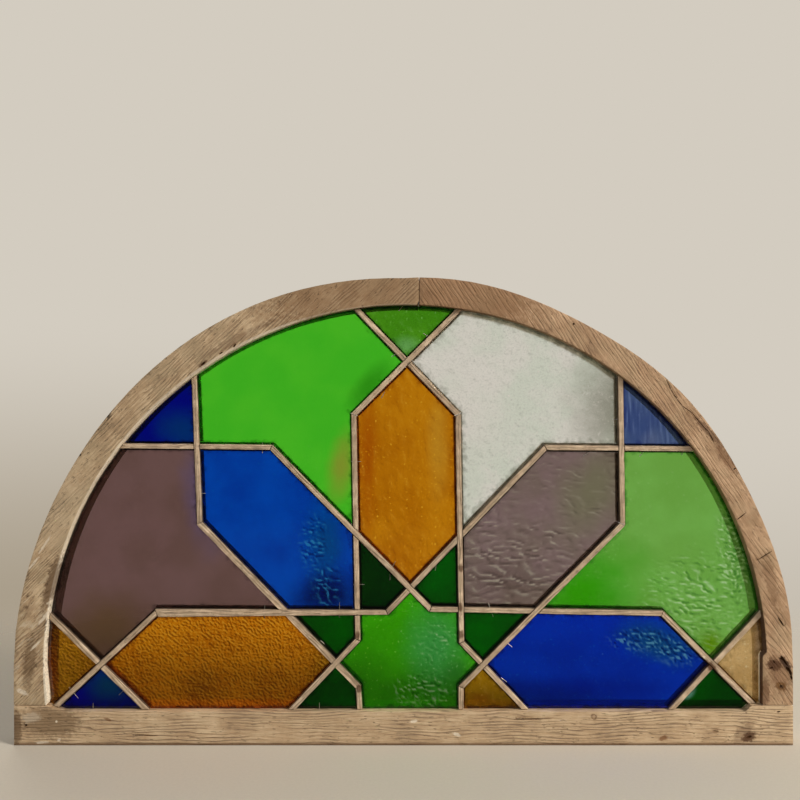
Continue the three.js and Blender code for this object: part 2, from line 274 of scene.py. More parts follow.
def wear_corners(shape, width):
    """Rounds the sharp corners and marks them, because handling leaves them paler.

    Corners that end at an edge too short for the rounding are left, or it would shrink everywhere."""
    sharp_angle = math.radians(30)
    too_short = 1.5 * width
    wear = shape.verts.layers.float.new("wear")
    cramped = {vert for edge in shape.edges if edge.calc_length() < too_short for vert in edge.verts}
    sharp = [edge for edge in shape.edges if edge.calc_face_angle(0) > sharp_angle]
    corners = [edge for edge in sharp if not cramped.intersection(edge.verts)]
    rounded = bmesh.ops.bevel(
        shape,
        geom=corners,
        offset=width,
        offset_type="OFFSET",
        segments=2,
        profile=0.5,
        affect="EDGES",
        material=-1,
        clamp_overlap=True,
    )
    for vert in rounded["verts"]:
        vert[wear] = 1.0


def cut_into_cells(shape, cell):
    """Cuts the faces into cells, so that they can be made uneven."""
    for axis in range(3):
        reach = [vert.co[axis] for vert in shape.verts]
        across = Vector([1.0 if i == axis else 0.0 for i in range(3)])
        cuts = int((max(reach) - min(reach)) / cell)
        for cut in range(1, cuts + 1):
            parts = shape.verts[:] + shape.edges[:] + shape.faces[:]
            plane = across * (min(reach) + cut * (max(reach) - min(reach)) / (cuts + 1))
            bmesh.ops.bisect_plane(shape, geom=parts, dist=1e-6, plane_co=plane, plane_no=across)


def make_uneven(shape, depth, size, seed):
    """Planes the faces unevenly inward; the underside keeps its place on the sill."""
    underside = 0.0005
    shape.normal_update()
    for vert in shape.verts:
        if vert.co.z > underside:
            swell = noise.noise(vert.co / size + Vector((seed, 0, 0)))
            vert.co -= vert.normal * depth * (0.5 + 0.5 * swell)


def gouged(piece, marks, face_y, finish):
    """Cuts long hollows into a piece's front; a mark is x, z, length, width, depth, turn in mm."""
    tool = bmesh.new()
    for x, z, length, width, depth, turn in marks:
        place = Matrix.Translation((x / 1000, face_y, z / 1000))
        size = Matrix.Diagonal((length / 2000, depth / 1000, width / 2000, 1))
        matrix = place @ Matrix.Rotation(-math.radians(turn), 4, "Y") @ size
        bmesh.ops.create_icosphere(tool, subdivisions=2, radius=1, matrix=matrix)
    data = bpy.data.meshes.new("gouge")
    tool.to_mesh(data)
    tool.free()
    data.materials.append(finish.material)
    cutter = bpy.data.objects.new("gouge", data)
    bpy.context.scene.collection.objects.link(cutter)
    cut = piece.modifiers.new("gouge", "BOOLEAN")
    cut.object = cutter
    cut.solver = "EXACT"
    cut.use_self = True
    cut.material_mode = "TRANSFER"
    evaluated = piece.evaluated_get(bpy.context.evaluated_depsgraph_get())
    result = bpy.data.meshes.new_from_object(evaluated)
    piece.modifiers.clear()
    piece.data = result
    bpy.data.objects.remove(cutter)


def mark_grain(piece, along, seed):
    """Stores each point's place in the board: along the grain, through it and across it."""
    along = along.normalized()
    across = along.cross(Vector((0, 1, 0))).normalized()
    shift = Vector((seed * 0.731, seed * 0.377, seed * 0.519))
    places = piece.data.attributes.new("grain", "FLOAT_VECTOR", "POINT")
    for vert, place in zip(piece.data.vertices, places.data):
        place.vector = Vector((vert.co.dot(along), vert.co.y, vert.co.dot(across))) + shift


def piece_from(shape, name, finish):
    """A finished mesh as an object in the scene, smooth except at real corners."""
    real_corner = math.radians(38)
    data = bpy.data.meshes.new(name)
    for face in shape.faces:
        face.smooth = True
    shape.to_mesh(data)
    shape.free()
    carried_normals = data.attributes.get("custom_normal")
    if carried_normals is not None:
        data.attributes.remove(carried_normals)
    data.set_sharp_from_angle(angle=real_corner)
    data.materials.append(finish.material)
    piece = bpy.data.objects.new(name, data)
    bpy.context.scene.collection.objects.link(piece)
    return piece


def direction(degrees):
    """A direction in front view, turned from +X towards +Z."""
    return Vector((math.cos(math.radians(degrees)), 0, math.sin(math.radians(degrees))))


def timber(name, tones, weathered, ring_gap=0.0042, ring_share=0.5, blotch=30.0, dirt=1.9, greying=0.6):
    """Softwood by its darkest, middle and palest tone, greyed in patches where it has weathered.

    Its year rings show as dark lines a gap apart in metres. Their share, the blotches a metre, and
    the shares of dirt and greying set how strongly each shows. The scales are details a metre
    along the grain, through the board and across it."""
    ring_wander_scales = (7.0, 26.0, 30.0)
    ring_strength_scales = (14.0, 50.0, 60.0)
    fibre_scales = (34.0, 480.0, 560.0)
    pore_scales = (150.0, 520.0, 660.0)
    scratch_scales = (60.0, 900.0, 420.0)
    ring_wander = 6.0
    ring_lean = 0.4
    mean_tone = 0.64
    fibre_share = 1.5
    finish = Finish(name, {"Specular IOR Level": 0.25})
    grain = finish.node("ShaderNodeAttribute", {"attribute_name": "grain"}, output="Vector")
    finish.grain = grain
    wear = finish.node("ShaderNodeAttribute", {"attribute_name": "wear"}, output="Fac")
    depth = finish.part(grain, "Y")
    across = finish.part(grain, "Z")
    wander = finish.noise(finish.stretched(grain, ring_wander_scales), 1.0, 3.0)
    turns = (across + ring_lean * depth) * (1 / ring_gap) + ring_wander * wander
    ring = finish.maths("FRACT", turns)
    strength = finish.noise(finish.stretched(grain, ring_strength_scales), 1.0, 3.0)
    strength = finish.fade(strength, 0.36, 0.6)
    late_wood = finish.fade(ring, 0.4, 0.92) * (1 - finish.fade(ring, 0.93, 1.0)) * strength
    fibres = finish.noise(finish.stretched(grain, fibre_scales), 1.0, 4.0, 0.7)
    patches = finish.noise(grain, blotch, 5.0, 0.65)
    tone = mean_tone - ring_share * late_wood + fibre_share * (fibres - 0.5) + dirt * (patches - 0.5)
    dark, middle, pale = tones
    stops = [(0.05, dark), (0.5, middle), (0.95, pale)]
    colour = finish.node("ShaderNodeValToRGB", {"stops": stops}, {0: tone})
    grey = finish.fade(finish.noise(grain, 27.0, 5.0, 0.7), 0.46, 0.62)
    colour = finish.blend(grey * greying, colour, weathered)
    pores = finish.noise(finish.stretched(grain, pore_scales), 1.0, 2.0)
    pores = finish.fade(pores, 0.62, 0.72)
    colour = finish.blend(pores * 0.65, colour, dark)
    scratches = finish.noise(finish.stretched(grain, scratch_scales), 1.0, 2.0)
    scratches = finish.fade(scratches, 0.66, 0.74)
    colour = finish.blend(scratches * 0.5, colour, pale)
    finish.colour = finish.blend(wear * 0.35, colour, pale)
    finish.feed(finish.shader.inputs["Roughness"], 0.6 + 0.3 * fibres)
    relief_depth = 0.0013
    finish.relief(fibres * 0.6 - late_wood * 0.4 - pores * 0.5, relief_depth)
    return finish


def stain(finish, marks):
    """Lays rust, dirt, knots or pale scuffs over the colour so far, each an oval with a ragged edge.

    A mark is its colour, its share, its middle and radii in millimetres, and its turn."""
    for colour, share, centre, radii, turn in marks:
        mask = finish.spot(centre, radii, turn, ragged=0.5, soft=0.5, grit=240.0)
        finish.colour = finish.blend(mask * share, finish.colour, colour)


def coat(finish):
    """Gives the shader the colour that was built up."""
    finish.feed(finish.shader.inputs["Base Color"], finish.colour)
    return finish


opening_radius = 0.4172
opening_centre = (0.0023, 0, 0.0917)
board_front_y = -0.0167
lip_front_y = -0.005


def from_opening(finish):
    """How far a point is from the middle of the arch's opening, in front view."""
    sockets = {0: finish.stretched(finish.place, (1, 0, 1)), 1: opening_centre}
    return finish.node("ShaderNodeVectorMath", {"operation": "DISTANCE"}, sockets, "Value")


# A pale tone that paints light: a highlight on a lit inner face, and lighter lips where shade lies behind
# the glass.
painted_light_tone = paint(236, 224, 202)
# Painted shade: the insides of gouges, nail holes and cracks are painted dark brown.
hollow_painted_shade = Finish("hollow_painted_shade", {"Roughness": 0.95, "Specular IOR Level": 0.1})
hollow_tone = hollow_painted_shade.noise(hollow_painted_shade.place, 400.0)
hollow_painted_shade.colour = hollow_painted_shade.blend(hollow_tone, paint(42, 26, 14), paint(86, 58, 36))
coat(hollow_painted_shade)

knot_brown = paint(84, 54, 32)
rust = paint(112, 66, 26)
scuff = paint(226, 212, 190)

left_wood = timber(
    "left_arch_wood",
    [paint(72, 50, 32), paint(156, 125, 93), paint(212, 188, 154)],
    paint(156, 136, 106),
    ring_gap=0.0034,
    ring_share=0.36,
)
# Painted highlight: the left board's inner face, which faces the light from the right, is painted pale,
# fully low down and half as much higher up.
inner_face_highlight = left_wood.fade(from_opening(left_wood), opening_radius + 0.0016, opening_radius + 0.0006)
highlight_strength = 0.5 + 0.5 * left_wood.fade(left_wood.part(left_wood.place, "Z"), 0.42, 0.2)
left_wood.colour = left_wood.blend(inner_face_highlight * highlight_strength, left_wood.colour, painted_light_tone)
left_shades = [
    (paint(130, 96, 64), 0.6, (-40, 520), (170, 60), 0),
    (paint(196, 176, 146), 0.45, (-385, 265), (62, 62), 50),
]
stain(left_wood, left_shades)
low_and_worn = left_wood.spot((-424, 130), (44, 96), -12, ragged=0.5, grit=60.0)
streaks = left_wood.noise(left_wood.stretched(left_wood.grain, (46.0, 150.0, 150.0)), 1.0, 5.0, 0.75, 0.6)
worn = left_wood.fade(streaks, 0.52, 0.62) * low_and_worn
left_wood.colour = left_wood.blend(worn * 0.7, left_wood.colour, paint(206, 190, 164))
grimy = left_wood.fade(streaks, 0.48, 0.36) * low_and_worn
left_wood.colour = left_wood.blend(grimy * 0.75, left_wood.colour, paint(84, 62, 40))
left_stains = [
    (paint(96, 70, 46), 0.75, (-407, 186), (8, 44), -16),
    (paint(104, 80, 54), 0.6, (-432, 96), (9, 40), -6),
    (scuff, 0.9, (-440, 61.7), (9, 3.4), -25),
    (scuff, 0.9, (-399, 171), (17, 2.6), 32),
    (scuff, 0.9, (-405, 158), (17, 2.2), 40),
    (scuff, 0.8, (-416, 146), (12, 2.2), 48),
    (scuff, 0.8, (-424, 116), (11, 1.8), 44),
    (scuff, 0.8, (-427, 210), (13, 1.8), 50),
    (scuff, 0.7, (-414, 232), (16, 1.6), 56),
    (knot_brown, 0.7, (-231.4, 440.7), (9, 2.4), 40),
    (knot_brown, 0.35, (-190, 470), (60, 6), 28),
]
stain(left_wood, left_stains)
coat(left_wood)

right_wood = timber(
    "right_arch_wood",
    [paint(70, 46, 28), paint(148, 115, 84), paint(194, 162, 130)],
    paint(154, 132, 102),
    ring_gap=0.0044,
    ring_share=0.34,
)
right_depth = right_wood.part(right_wood.place, "Y")
right_height = right_wood.part(right_wood.place, "Z")
from_middle = from_opening(right_wood)
inner_face = right_wood.fade(from_middle, opening_radius + 0.0016, opening_radius + 0.0004)
inner_face = inner_face * right_wood.fade(right_depth, board_front_y, board_front_y + 0.001)
# Painted shade: the right board's inner face, turned away from the light, is painted darker towards the
# bottom.
inner_face_painted_shade = inner_face * right_wood.fade(right_height, 0.24, 0.13)
right_wood.colour = right_wood.blend(inner_face_painted_shade * 0.8, right_wood.colour, paint(74, 50, 40))
right_stains = [
    (paint(134, 98, 66), 0.6, (70, 520), (110, 60), 0),
    (paint(120, 84, 56), 0.6, (434, 84), (16, 30), 12),
    (knot_brown, 0.95, (428, 93), (11, 9), -30),
    (paint(108, 74, 38), 0.9, (435.6, 68.6), (7.5, 7), 0),
    (paint(70, 46, 24), 0.9, (436.4, 67.6), (3, 2.6), 0),
    (paint(56, 34, 20), 0.9, (441, 94), (5, 14), 38),
    (knot_brown, 0.7, (352, 362), (5, 30), 44),
    (paint(110, 74, 46), 0.6, (374, 330), (8, 26), 36),
    (paint(112, 80, 52), 0.5, (424, 190), (9, 40), 12),
    (paint(98, 66, 42), 0.7, (418, 62), (6, 22), 0),
]
stain(right_wood, right_stains)
# Painted light: the lip behind the glass, which lies in shade, is painted pale.
lip = right_wood.fade(from_middle, opening_radius + 0.0002, opening_radius - 0.0005)
lip = lip * right_wood.fade(right_depth, lip_front_y - 0.0008, lip_front_y)
right_wood.colour = right_wood.blend(lip, right_wood.colour, painted_light_tone)
coat(right_wood)

crack_path = [(304, 420.6), (309, 410), (315.6, 399.9), (321.4, 392.2), (333, 384), (342.2, 372.2)]
crack_path += [(352, 362), (358, 351)]
right_marks = [(196.3, 486.4, 2.6, 2.2, 3.0, 0), (435.6, 68.6, 2.6, 2.4, 3.0, 0)]
right_marks += [(439.5, 97.5, 15, 2.6, 2.6, -56), (446.2, 84.5, 9, 3.2, 3.0, -70)]
right_marks += [(435.6, 142.5, 13, 1.6, 2.0, -58), (390, 264.5, 15, 1.1, 1.4, 38)]
right_marks += [(416.6, 219, 22, 1.1, 1.2, 32), (437.2, 99.5, 7, 3.2, 2.4, -30)]
right_marks += [(424.6, 89.6, 5, 2.2, 1.6, 20), (443.6, 88.2, 7, 3.6, 2.4, -48)]
right_marks += [(447.6, 78.6, 6, 2.6, 2.4, -80), (427.5, 96.5, 4, 1.8, 1.4, -60)]
for (from_x, from_z), (to_x, to_z) in zip(crack_path, crack_path[1:]):
    run = math.hypot(to_x - from_x, to_z - from_z)
    heading = math.degrees(math.atan2(to_z - from_z, to_x - from_x))
    right_marks.append(((from_x + to_x) / 2, (from_z + to_z) / 2, run * 1.2, 0.9, 1.6, heading))
left_marks = [(-231.4, 440.7, 7, 2.2, 2.2, 42), (-210.6, 452.9, 5, 1.6, 1.6, 30)]
left_marks += [(-194.9, 461.4, 5, 1.8, 1.6, 60)]

frame_corner = 0.0009
board_cell = 0.006
board_unevenness = 0.0003
arch_swell = 0.018
boards = [
    ("arch_left", 44, left_wood, left_marks),
    ("arch_right", -56, right_wood, right_marks),
]
for number, (node, slope, finish, marks) in enumerate(boards):
    shape = clean_copy(node)
    wear_corners(shape, frame_corner)
    cut_into_cells(shape, board_cell)
    make_uneven(shape, board_unevenness, arch_swell, number * 7.3)
    piece = piece_from(shape, "sawn_" + node, finish)
    gouged(piece, marks, front_face_y, hollow_painted_shade)
    mark_grain(piece, direction(slope), number + 1)
    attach(piece, "root")
    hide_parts(node)


# Bottom rail. One straight softwood board on edge, its top cut down between the arch's feet, on
# which it carries them. Its left end is grimy and scuffed, and a knot and old nail holes show near
# its ends. Its foot is darkened with painted shade, and its lip behind the glass is lightened with
# painted light.
rail_wood = timber(
    "rail_wood",
    [paint(80, 50, 30), paint(170, 138, 104), paint(214, 190, 156)],
    paint(172, 148, 116),
    ring_gap=0.0037,
    ring_share=0.66,
    dirt=1.3,
    greying=0.25,
)
rail_height = rail_wood.part(rail_wood.place, "Z")
# Painted shade: the rail is darkened along its foot, where it meets the floor.
foot_painted_shade = rail_wood.fade(rail_height, 0.0042, 0.0012)
rail_wood.colour = rail_wood.blend(foot_painted_shade * 0.75, rail_wood.colour, knot_brown)
rail_stains = [
    (knot_brown, 0.9, (398.7, 9.8), (11, 7), 20),
    (knot_brown, 0.4, (392, 14), (22, 10), 50),
    (rust, 0.7, (300, 8.5), (7, 3.5), 20),
    (rust, 0.6, (-341.6, 30.1), (6, 2.2), -20),
    (scuff, 1.0, (11.9, 27.7), (5, 2.2), 10),
    (scuff, 1.0, (61.3, 12.7), (6, 2.4), -20),
    (knot_brown, 0.7, (219.8, 32.9), (4.4, 4.2), 0),
    (paint(186, 158, 124), 0.9, (219.8, 32.9), (2.6, 2.4), 0),
    (paint(122, 98, 70), 0.65, (-408, 27), (46, 22), -4),
    (paint(96, 72, 48), 0.7, (-446, 20), (7, 26), 0),
    (scuff, 0.4, (-430, 32), (14, 8), 10),
    (scuff, 0.8, (-417, 3.6), (9, 1.8), 4),
    (scuff, 0.9, (-400.5, 27.6), (1.6, 1.8), 0),
    (scuff, 0.8, (-397.6, 6.4), (3, 2.4), 50),
]
stain(rail_wood, rail_stains)
# Painted light: the rail's lip behind the glass, between the arch's feet, is painted paler.
lip_end_x = 0.4115
rail_side = rail_wood.part(rail_wood.place, "X")
rail_depth = rail_wood.part(rail_wood.place, "Y")
rail_lip_painted_light = rail_wood.fade(rail_side * rail_side, (lip_end_x + 0.001) ** 2, lip_end_x ** 2)
rail_lip_painted_light = rail_lip_painted_light * rail_wood.fade(rail_depth, lip_front_y - 0.0008, lip_front_y)
rail_lip_painted_light = rail_lip_painted_light * rail_wood.fade(rail_height, 0.0392, 0.0398)
rail_wood.colour = rail_wood.blend(rail_lip_painted_light * 0.6, rail_wood.colour, painted_light_tone)
coat(rail_wood)

rail_marks = [(-435.6, 23.6, 2.8, 2.4, 4, 0), (398.7, 9.8, 7, 3, 1.4, 20), (433.1, 39, 4, 1.6, 2, 10)]
rail_marks += [(360.6, 16.7, 7, 1.2, 1.6, -6), (-300, 12, 30, 0.9, 1.4, -2), (150, 31, 46, 0.8, 1.2, 1)]
rail_swell = 0.02
shape = clean_copy("bottom_rail")
wear_corners(shape, frame_corner)
cut_into_cells(shape, board_cell)
make_uneven(shape, board_unevenness, rail_swell, 31.0)
piece = piece_from(shape, "sawn_bottom_rail", rail_wood)
gouged(piece, rail_marks, front_face_y, hollow_painted_shade)
mark_grain(piece, Vector((1, 0, 0)), 3)
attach(piece, "root")
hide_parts("bottom_rail")


# Glazing bars. Sawn softwood strips, each a narrow stem in front of a wider flange, halved where
# they cross, mitred where they bend, and glued into the frame. Their sides are darkened next to the
# glass, with dirt and painted shade.
bar_wood = timber(
    "bar_wood",
    [paint(62, 42, 28), paint(160, 133, 106), paint(222, 200, 172)],
    paint(140, 120, 96),
    ring_gap=0.0036,
    ring_share=0.4,
    blotch=60.0,
)
bar_depth = bar_wood.part(bar_wood.place, "Y")
# Dirt and painted shade: the stems are darkened where they meet the glass, and the flanges behind it much
# less.
behind_glass = bar_wood.fade(bar_depth, -0.0062, -0.0052)
glass_dirt_and_shade = bar_wood.fade(bar_depth, -0.0114, -0.0096) * (1 - 0.8 * behind_glass)
bar_wood.colour = bar_wood.blend(glass_dirt_and_shade * 0.8, bar_wood.colour, paint(52, 36, 24))
bar_knots = [(66.4, 203.5), (66.4, 158.4), (66.4, 126.1), (-53.7, 124.9), (-51.4, 63.7)]
bar_stains = [(knot_brown, 0.8, place, (4, 6), 0) for place in bar_knots]
bar_stains += [(knot_brown, 0.95, (357, 89), (12, 6), -45), (scuff, 1.0, (348, 99.8), (3, 2.4), 0)]
stain(bar_wood, bar_stains)
coat(bar_wood)

bar_slopes = {
    "bar_right_top_slant": 135,
    "bar_right_star_upright": 90,
    "bar_right_foot_slant": -45,
    "bar_left_top_slant": 45,
    "bar_left_star_upright": 90,
    "bar_left_foot_slant": 45,
    "bar_right_shoulder_upright": 90,
    "bar_right_long_slant": 45,
    "bar_right_foot_upright": 90,
    "bar_left_shoulder_upright": 90,
    "bar_left_long_slant": 135,
    "bar_left_foot_upright": 90,
    "bar_right_shoulder_level": 0,
    "bar_right_star_slant": 45,
    "bar_left_low_level": 0,
    "bar_left_corner_rising": 45,
    "bar_left_shoulder_level": 0,
    "bar_left_star_slant": 135,
    "bar_right_low_level": 0,
    "bar_right_corner_falling": 135,
    "bar_right_corner_rising": 45,
    "bar_left_corner_falling": 135,
}
bar_corner = 0.0005
bar_cell = 0.008
bar_unevenness = 0.0006
bar_swell = 0.012
for number, (node, slope) in enumerate(bar_slopes.items()):
    shape = clean_copy(node)
    wear_corners(shape, bar_corner)
    cut_into_cells(shape, bar_cell)
    make_uneven(shape, bar_unevenness, bar_swell, number * 3.1)
    piece = piece_from(shape, "strip_" + node.removeprefix("bar_"), bar_wood)
    mark_grain(piece, direction(slope), number + 5)
    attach(piece, "root")
    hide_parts(node)


# Panes. Flat sheets of many old glasses, some smooth and some rolled with a hammered, rippled or
# seedy front, cut with a straight cutter and laid into the rebates from the front. A pane's tint
# is the colour that it shows in front of the pale backdrop.


def passing(red, green, blue):
    """What a pane lets through when it shows this screen colour in front of the backdrop."""
    through_both_faces = 0.92
    shown = paint(red, green, blue)
    shares = [min(s / (b * through_both_faces), 0.98) for s, b in zip(shown[:3], backdrop_colour)]
    return (*shares, 1.0)


def flow(x, z, size, turn=0.0, stretch=1.0, seed=0.0):
    """Smooth noise from -1 to 1 in front view, with swells of a size in metres, longer along a turn."""
    angle = math.radians(turn)
    along = (x * math.cos(angle) + z * math.sin(angle)) / (size * stretch)
    across = (z * math.cos(angle) - x * math.sin(angle)) / size
    return noise.noise(Vector((along, across, seed)))


def near(x, z, centre, radii):
    """1 at a centre in millimetres, falling to 0 at its radii."""
    away = math.hypot((x * 1000 - centre[0]) / radii[0], (z * 1000 - centre[1]) / radii[1])
    return max(0.0, min(1.0, 1.5 * (1 - away)))


def hammered(x, z):
    return 0.5 + 0.5 * flow(x, z, 0.0021, -38, 1.45) + 0.3 * flow(x, z, 0.008, 20, 1.2, 4.0)


def seedy(x, z):
    return 0.5 + 0.3 * flow(x, z, 0.008, 90, 1.6) + 0.08 * flow(x, z, 0.0026, 90, 1.4, 2.0)


def drawn(x, z):
    return 0.5 + 0.34 * flow(x, z, 0.003, 90, 9.0) + 0.1 * flow(x, z, 0.012)


def frosted(x, z):
    return 0.5 + 0.07 * flow(x, z, 0.0026, 0, 1.1) + 0.22 * flow(x, z, 0.008)


def smooth(x, z):
    return 0.5 + 0.12 * flow(x, z, 0.03, 20, 2.0)


def ripples(x, z, size):
    """Meandering ridges, as on glass poured on a cold table."""
    bend = 0.6 * size
    warped_x = x + bend * flow(x, z, 2.2 * size, 0, 1.0, 8.0)
    warped_z = z + bend * flow(x, z, 2.2 * size, 0, 1.0, 12.0)
    return 1 - min(1.0, 2.6 * abs(flow(warped_x, warped_z, size, 15, 1.6, 5.0)))


def crinkled(x, z):
    share = 0.4 + 0.6 * near(x, z, (130, 205), (120, 80))
    return 0.3 + 0.55 * share * ripples(x, 1.35 * z, 0.0112)


def pool_rippled(x, z):
    pool = max(near(x, z, (345, 165), (80, 70)), 0.06)
    edge = near(x, z, (390, 235), (30, 100))
    return 0.25 + 0.55 * pool * ripples(x, 1.3 * z, 0.0086) + 0.5 * edge * ripples(x, z, 0.0042)


def star_rippled(x, z):
    share = max(near(x, z, (24, 60), (44, 26)), near(x, z, (38, 110), (40, 60)) * 0.3, 0.05)
    return 0.3 + 0.6 * share * ripples(x, z, 0.0052)


def corner_rippled(x, z):
    share = max(near(x, z, (282, 120), (52, 16)), near(x, z, (322, 106), (34, 20)), 0.05)
    return 0.3 + 0.6 * share * ripples(x, z, 0.0048)


def edge_rippled(x, z):
    share = max(near(x, z, (-88, 184), (22, 34)), near(x, z, (-104, 232), (20, 46)), 0.06)
    return 0.3 + 0.6 * share * ripples(x, z, 0.006)


def pane_shape(node, cell, depth, worked, rim_reach):
    """A pane cut from its solid's front face, with a worked front that sinks by up to a depth."""
    faces_front = -0.9
    tilt_step = 0.0008
    tilt_scale = 0.001
    low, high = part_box(node)
    shape = clean_copy(node)
    shape.normal_update()
    others = [face for face in shape.faces if face.normal.y > faces_front]
    bmesh.ops.delete(shape, geom=others, context="FACES")
    cut_into_cells(shape, cell)
    border = [vert for vert in shape.verts if vert.is_boundary]
    nearest = kdtree.KDTree(len(border))
    for number, vert in enumerate(border):
        nearest.insert(vert.co, number)
    nearest.balance()
    back = bmesh.ops.extrude_face_region(shape, geom=shape.faces[:], use_keep_orig=True)["geom"]
    back_verts = [part for part in back if isinstance(part, bmesh.types.BMVert)]
    bmesh.ops.translate(shape, verts=back_verts, vec=(0, high.y - low.y, 0))
    bmesh.ops.recalc_face_normals(shape, faces=shape.faces)
    tilt = shape.verts.layers.float.new("tilt")
    rim = shape.verts.layers.float.new("rim")
    for vert in shape.verts:
        inward = nearest.find(Vector((vert.co.x, low.y, vert.co.z)))[2]
        vert[rim] = max(0.0, 1 - inward / rim_reach)
        # The tilt is the front's slope towards the upper right, where the light comes from; the glass
        # paints shade and highlights by it.
        height = worked(vert.co.x, vert.co.z)
        beyond = worked(vert.co.x + tilt_step, vert.co.z + tilt_step)
        vert[tilt] = (beyond - height) / tilt_step * tilt_scale
        if vert.co.y < low.y + 1e-5:
            vert.co.y += depth * min(1.0, max(0.0, 1 - height))
    return shape


def glass(name, tint, second, deep, bright, contrast, roughness):
    """A pane's glass: two tints in soft clouds, with masks for painted shade in folds, painted highlights
    on crests, rim dirt with painted shade, and seeds painted pale as glints.
    """
    finish = Finish(name, {"Transmission Weight": 1.0, "IOR": 1.5})
    tilt = finish.node("ShaderNodeAttribute", {"attribute_name": "tilt"}, output="Fac")
    rim = finish.node("ShaderNodeAttribute", {"attribute_name": "rim"}, output="Fac")
    clouds = finish.fade(finish.noise(finish.place, 17.0, 3.0), 0.36, 0.64)
    finish.colour = finish.blend(clouds, passing(*tint), passing(*second))
    # Painted shade where the front slopes away from the light, and painted highlight where it slopes
    # towards it.
    finish.folds = finish.fade(tilt, 0.0, -contrast)
    finish.crests = finish.fade(tilt, 0.0, contrast)
    # Dirt and painted shade: the glass is darkened along its rim, next to the bars and the frame.
    ragged = finish.noise(finish.place, 130.0, 3.0)
    finish.dirt = finish.fade(rim + (ragged - 0.5) * 1.5, 0.6, 1.1)
    # Painted glints: seeds, the bubbles in the glass, show as small specks painted pale.
    finish.seeds = finish.fade(finish.noise(finish.place, 300.0, 1.0), 0.7, 0.78)
    finish.deep = passing(*deep)
    finish.bright = passing(*bright)
    finish.shader.inputs["Roughness"].default_value = roughness
    return finish


def rows_of_seeds(finish):
    """Bubbles drawn out upwards, in wandering rows that show here and there, painted pale as glints."""
    rows_per_metre = 58
    seeds_per_metre = 104
    slimness = 297
    shortness = 92
    drift = finish.noise(finish.place, 26.0, 1.0)
    beside = finish.maths("FRACT", finish.part(finish.place, "X") * rows_per_metre + drift * 0.7) - 0.5
    above = finish.maths("FRACT", finish.part(finish.place, "Z") * seeds_per_metre + drift * 3.0) - 0.5
    shown = finish.fade(finish.noise(finish.place, 90.0, 1.0), 0.42, 0.58)
    oval = beside * beside * slimness + above * above * shortness
    return finish.fade(oval, 1.0, 0.25) * shown


def frost(finish):
    """Fine grains of frosting."""
    return finish.fade(finish.noise(finish.place, 430.0, 3.0, 0.7), 0.5, 0.8)


def patch(finish, colour, share, centre, radii, turn):
    """A place where the glass shows another tint; some such places are painted reflections."""
    mask = finish.spot(centre, radii, turn, ragged=0.2, soft=0.95, grit=40.0)
    finish.colour = finish.blend(mask * share, finish.colour, passing(*colour))
